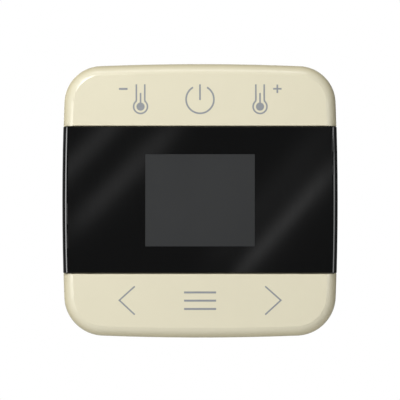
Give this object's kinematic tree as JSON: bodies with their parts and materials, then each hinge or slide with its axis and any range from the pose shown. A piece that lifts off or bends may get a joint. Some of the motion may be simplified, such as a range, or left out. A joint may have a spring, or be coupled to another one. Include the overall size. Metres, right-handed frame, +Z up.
{
  "type": "wall thermostat",
  "caption": "Square room thermostat for a flush wall box: gloss black display window between pale key strips above and below, pull-off front, steel plate, rear insert with terminals.",
  "frame": {"origin": "centre of the wall box screw pattern, on the wall surface behind the steel plate", "axes": "+Z up the wall, -Y out of the wall towards the room, +X to the right for someone facing the front; the rear insert reaches to +Y inside the wall box"},
  "size_m": [0.081, 0.039, 0.0806],
  "materials": {
    "cream_plastic": "fine-grained satin",
    "key_plastic": "fine-grained satin",
    "gloss_black": "polished",
    "lens_grey": "satin",
    "dark_plastic": "fine-grained matt",
    "white_plastic": "matt",
    "grey_plastic": "matt",
    "terminal_plastic": "matt",
    "relay_plastic": "satin",
    "module_plastic": "matt",
    "film_plastic": "satin",
    "capacitor_sleeve": "satin",
    "varistor_epoxy": "satin",
    "board": "satin solder mask",
    "zinc_steel": "zinc plated, satin",
    "spring_steel": "rolled, satin",
    "screw_steel": "zinc plated",
    "brass": "satin",
    "pin_metal": "polished",
    "silicone": "matt",
    "zebra_rubber": "matt",
    "adhesive": "matt foam",
    "fuse_glass": "polished",
    "led_white": "satin",
    "diffuser": "satin",
    "display_glass": "polished",
    "polarizer": "satin film",
    "sensor_epoxy": "satin"
  },
  "bodies": {
    "base": {"mounting_plate": "zinc_steel", "retaining_clips": "spring_steel", "insert_housing": "dark_plastic", "insert_cover": "white_plastic", "insert_screws": "screw_steel", "power_board": "board", "relay": "relay_plastic", "power_module": "module_plastic", "film_capacitor": "film_plastic", "smoothing_capacitors": "capacitor_sleeve", "varistor": "varistor_epoxy", "fuse": "fuse_glass", "header_socket": "dark_plastic", "terminal_block": "terminal_plastic", "terminal_busbars": "brass"},
    "front_unit": {"front_frame": "cream_plastic", "rear_cover": "white_plastic", "housing_screws": "screw_steel", "display_board": "board", "microcontroller": "module_plastic", "temperature_sensor": "sensor_epoxy", "header_base": "dark_plastic", "header_pins": "pin_metal", "lcd_holder": "dark_plastic", "light_guide": "diffuser", "backlight_leds": "led_white", "lcd_glass": "display_glass", "display_polarizer": "polarizer", "zebra_strips": "zebra_rubber", "window_adhesive": "adhesive", "window_panel": "gloss_black", "display_lens": "lens_grey", "top_keypad": "silicone", "bottom_keypad": "silicone"},
    "top_key_slider": {"top_key_carrier": "grey_plastic", "top_rocker_pin": "screw_steel"},
    "top_key": {"top_key_strip": "key_plastic"},
    "bottom_key_slider": {"bottom_key_carrier": "grey_plastic", "bottom_rocker_pin": "screw_steel"},
    "bottom_key": {"bottom_key_strip": "key_plastic"},
    "screw_1": {"terminal_screw_1": "screw_steel"},
    "cage_1": {"terminal_cage_1": "brass"},
    "screw_2": {"terminal_screw_2": "screw_steel"},
    "cage_2": {"terminal_cage_2": "brass"},
    "screw_3": {"terminal_screw_3": "screw_steel"},
    "cage_3": {"terminal_cage_3": "brass"},
    "screw_4": {"terminal_screw_4": "screw_steel"},
    "cage_4": {"terminal_cage_4": "brass"}
  },
  "joints": [
    {"name": "front_unit_pull_off", "type": "slide", "parent": "base", "child": "front_unit", "axis": [0, -1, 0], "range_m": [0, 0.014]},
    {"name": "top_key_press", "type": "slide", "parent": "front_unit", "child": "top_key_slider", "axis": [0, 1, 0], "range_m": [0, 0.0004], "stiffness_N_per_m": 2000, "springref_m": -0.0003, "deforming": ["top_keypad"]},
    {"name": "top_key_rock", "type": "hinge", "parent": "top_key_slider", "child": "top_key", "pos_m": [0, -0.0116, 0.0299], "axis": [0, 0, 1], "range_deg": [-0.6, 0.6], "stiffness_Nm_per_rad": 1.7, "deforming": ["top_keypad"]},
    {"name": "bottom_key_press", "type": "slide", "parent": "front_unit", "child": "bottom_key_slider", "axis": [0, 1, 0], "range_m": [0, 0.0004], "stiffness_N_per_m": 2000, "springref_m": -0.0003, "deforming": ["bottom_keypad"]},
    {"name": "bottom_key_rock", "type": "hinge", "parent": "bottom_key_slider", "child": "bottom_key", "pos_m": [0, -0.0116, -0.0292], "axis": [0, 0, 1], "range_deg": [-0.6, 0.6], "stiffness_Nm_per_rad": 1.7, "deforming": ["bottom_keypad"]},
    {"name": "terminal_screw_1_turn", "type": "hinge", "parent": "base", "child": "screw_1", "pos_m": [-0.012, 0.0205, -0.0171], "axis": [0, -1, 0], "range_deg": [0, 1296]},
    {"name": "terminal_cage_1_rise", "type": "slide", "parent": "base", "child": "cage_1", "axis": [0, 1, 0], "range_m": [0, 0.0018]},
    {"name": "terminal_screw_2_turn", "type": "hinge", "parent": "base", "child": "screw_2", "pos_m": [-0.004, 0.0205, -0.0171], "axis": [0, -1, 0], "range_deg": [0, 1296]},
    {"name": "terminal_cage_2_rise", "type": "slide", "parent": "base", "child": "cage_2", "axis": [0, 1, 0], "range_m": [0, 0.0018]},
    {"name": "terminal_screw_3_turn", "type": "hinge", "parent": "base", "child": "screw_3", "pos_m": [0.004, 0.0205, -0.0171], "axis": [0, -1, 0], "range_deg": [0, 1296]},
    {"name": "terminal_cage_3_rise", "type": "slide", "parent": "base", "child": "cage_3", "axis": [0, 1, 0], "range_m": [0, 0.0018]},
    {"name": "terminal_screw_4_turn", "type": "hinge", "parent": "base", "child": "screw_4", "pos_m": [0.012, 0.0205, -0.0171], "axis": [0, -1, 0], "range_deg": [0, 1296]},
    {"name": "terminal_cage_4_rise", "type": "slide", "parent": "base", "child": "cage_4", "axis": [0, 1, 0], "range_m": [0, 0.0018]}
  ],
  "couplings": [
    {"joint": "terminal_screw_1_turn", "follows": "terminal_cage_1_rise", "rad_per_m": 12566},
    {"joint": "terminal_screw_2_turn", "follows": "terminal_cage_2_rise", "rad_per_m": 12566},
    {"joint": "terminal_screw_3_turn", "follows": "terminal_cage_3_rise", "rad_per_m": 12566},
    {"joint": "terminal_screw_4_turn", "follows": "terminal_cage_4_rise", "rad_per_m": 12566}
  ]
}
